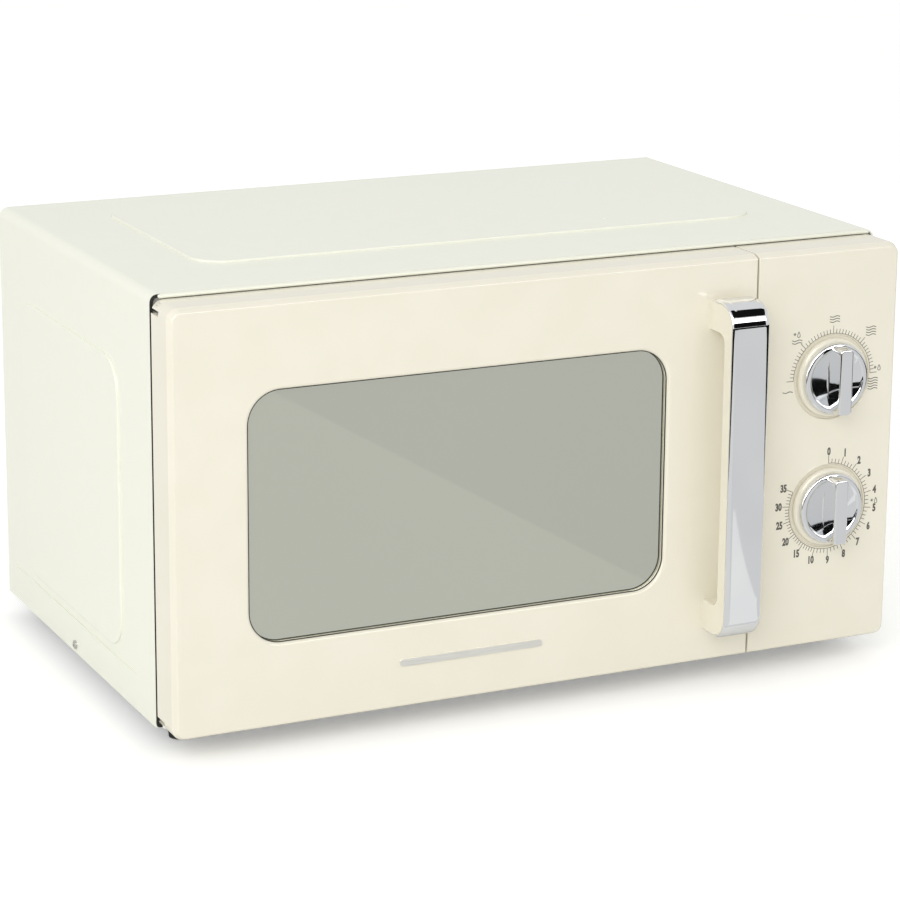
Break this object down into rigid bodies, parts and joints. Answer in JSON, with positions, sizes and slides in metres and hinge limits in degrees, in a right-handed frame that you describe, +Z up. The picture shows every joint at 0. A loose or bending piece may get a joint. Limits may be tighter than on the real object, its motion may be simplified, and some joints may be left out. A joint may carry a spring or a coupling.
{
  "type": "microwave oven",
  "caption": "Compact free-standing microwave oven with a side-hinged window door, a vertical bar handle, two rotary dials and a glass turntable.",
  "frame": {"origin": "under the middle of the oven, at the level its feet stand on", "axes": "+X to the right seen from the front, +Y to the back, +Z up; the door and the dials face -Y"},
  "size_m": [0.4556, 0.327, 0.2582],
  "materials": {
    "case_enamel": "satin baked enamel",
    "galvanised_sheet": "galvanised",
    "cavity_enamel": "satin enamel",
    "foot_plastic": "matte",
    "screw_steel": "zinc plated",
    "cream_plastic": "gloss",
    "chromed_plastic": "polished",
    "satin_metal": "satin",
    "window_glass": "mirror-tinted glass",
    "turntable_glass": "clear pressed glass",
    "black_screen": "black enamel",
    "choke_plastic": "matte",
    "clear_film": "clear",
    "white_plastic": "matte",
    "spring_steel": "bright",
    "black_plastic": "matte",
    "red_plastic": "matte",
    "timer_casing": "galvanised",
    "ring_plastic": "matte",
    "laminated_steel": "varnished",
    "copper_winding": "enamelled copper",
    "capacitor_can": "plain",
    "board_laminate": "matte",
    "mica_sheet": "mica",
    "fin_aluminium": "plain",
    "ceramic": "glazed ceramic"
  },
  "bodies": {
    "cabinet": {"base_plate": "galvanised_sheet", "capacitor": "capacitor_can", "capacitor_clamp": "galvanised_sheet", "case_screws": "screw_steel", "control_panel": "cream_plastic", "cord_gland": "foot_plastic", "fan_motor": "laminated_steel", "fan_shroud": "galvanised_sheet", "feet": "foot_plastic", "filter_board": "board_laminate", "front_frame": "cavity_enamel", "high_voltage_diode": "black_plastic", "interlock_switches": "black_plastic", "lamp_holder": "white_plastic", "latch_board": "white_plastic", "lower_hinge": "galvanised_sheet", "magnetron_antenna": "ceramic", "magnetron_core": "fin_aluminium", "magnetron_filter_box": "galvanised_sheet", "magnetron_yoke": "galvanised_sheet", "outer_case": "case_enamel", "oven_cavity": "cavity_enamel", "oven_lamp": "turntable_glass", "rear_panel": "galvanised_sheet", "rear_spacers": "foot_plastic", "thermal_cutouts": "black_plastic", "timer_bell": "screw_steel", "timer_unit": "timer_casing", "transformer_core": "laminated_steel", "transformer_windings": "copper_winding", "turntable_motor": "screw_steel", "upper_hinge": "galvanised_sheet", "waveguide": "galvanised_sheet", "waveguide_cover": "mica_sheet"},
    "door": {"door_shell": "cream_plastic", "door_window": "window_glass", "choke_frame": "cavity_enamel", "window_screen": "black_screen", "choke_cover": "choke_plastic", "inner_film": "clear_film", "door_screws": "screw_steel", "handle_body": "cream_plastic", "handle_trim": "chromed_plastic", "badge_strip": "satin_metal", "latch_spring": "spring_steel"},
    "latch": {"latch_hooks": "white_plastic"},
    "power_knob": {"power_knob_skirt": "cream_plastic", "power_knob_cap": "chromed_plastic", "power_shaft": "white_plastic"},
    "timer_knob": {"timer_knob_skirt": "cream_plastic", "timer_knob_cap": "chromed_plastic", "timer_shaft": "white_plastic"},
    "coupler": {"turntable_coupler": "white_plastic"},
    "plate": {"glass_turntable": "turntable_glass"},
    "rollers": {"roller_ring": "ring_plastic"},
    "wheel_1": {"roller_wheel_1": "ring_plastic"},
    "wheel_2": {"roller_wheel_2": "ring_plastic"},
    "wheel_3": {"roller_wheel_3": "ring_plastic"},
    "fan": {"fan_blades": "black_plastic"},
    "plungers": {"switch_plungers": "red_plastic"}
  },
  "joints": [
    {"name": "door_hinge", "type": "hinge", "parent": "cabinet", "child": "door", "pos_m": [-0.221, -0.1149, 0.134], "axis": [0, 0, -1], "range_deg": [0, 110]},
    {"name": "latch_slide", "type": "slide", "parent": "door", "child": "latch", "axis": [0, 0, 1], "range_m": [0, 0.003], "stiffness_N_per_m": 150, "springref_m": -0.004, "deforming": ["latch_spring"]},
    {"name": "power_knob_turn", "type": "hinge", "parent": "cabinet", "child": "power_knob", "pos_m": [0.182, -0.136, 0.178], "axis": [0, 1, 0], "range_deg": [-105, 100]},
    {"name": "timer_knob_turn", "type": "hinge", "parent": "cabinet", "child": "timer_knob", "pos_m": [0.182, -0.136, 0.1], "axis": [0, 1, 0], "range_deg": [0, 295]},
    {"name": "turntable_spin", "type": "hinge", "parent": "cabinet", "child": "coupler", "pos_m": [-0.0525, 0.0232, 0.045], "axis": [0, 0, 1], "continuous": true},
    {"name": "plate_lift", "type": "slide", "parent": "coupler", "child": "plate", "axis": [0, 0, 1], "range_m": [0, 0.04]},
    {"name": "roller_ring_spin", "type": "hinge", "parent": "cabinet", "child": "rollers", "pos_m": [-0.0525, 0.0232, 0.0453], "axis": [0, 0, 1], "continuous": true},
    {"name": "roller_wheel_1_spin", "type": "hinge", "parent": "rollers", "child": "wheel_1", "pos_m": [-0.0525, 0.1125, 0.0453], "axis": [0, 1, 0], "continuous": true},
    {"name": "roller_wheel_2_spin", "type": "hinge", "parent": "rollers", "child": "wheel_2", "pos_m": [-0.12984, -0.02145, 0.0453], "axis": [-0.866, -0.5, 0], "continuous": true},
    {"name": "roller_wheel_3_spin", "type": "hinge", "parent": "rollers", "child": "wheel_3", "pos_m": [0.02484, -0.02145, 0.0453], "axis": [0.866, -0.5, 0], "continuous": true},
    {"name": "fan_spin", "type": "hinge", "parent": "cabinet", "child": "fan", "pos_m": [0.1635, 0.13, 0.1872], "axis": [0, 1, 0], "continuous": true},
    {"name": "switch_plunger_slide", "type": "slide", "parent": "cabinet", "child": "plungers", "axis": [0, -1, 0], "range_m": [0, 0.002]}
  ],
  "couplings": [
    {"joint": "roller_ring_spin", "follows": "turntable_spin", "ratio": 0.5},
    {"joint": "roller_wheel_1_spin", "follows": "turntable_spin", "ratio": -6.1164},
    {"joint": "roller_wheel_2_spin", "follows": "turntable_spin", "ratio": -6.1164},
    {"joint": "roller_wheel_3_spin", "follows": "turntable_spin", "ratio": -6.1164},
    {"joint": "switch_plunger_slide", "follows": "door_hinge", "m_per_rad": 0.00104}
  ]
}
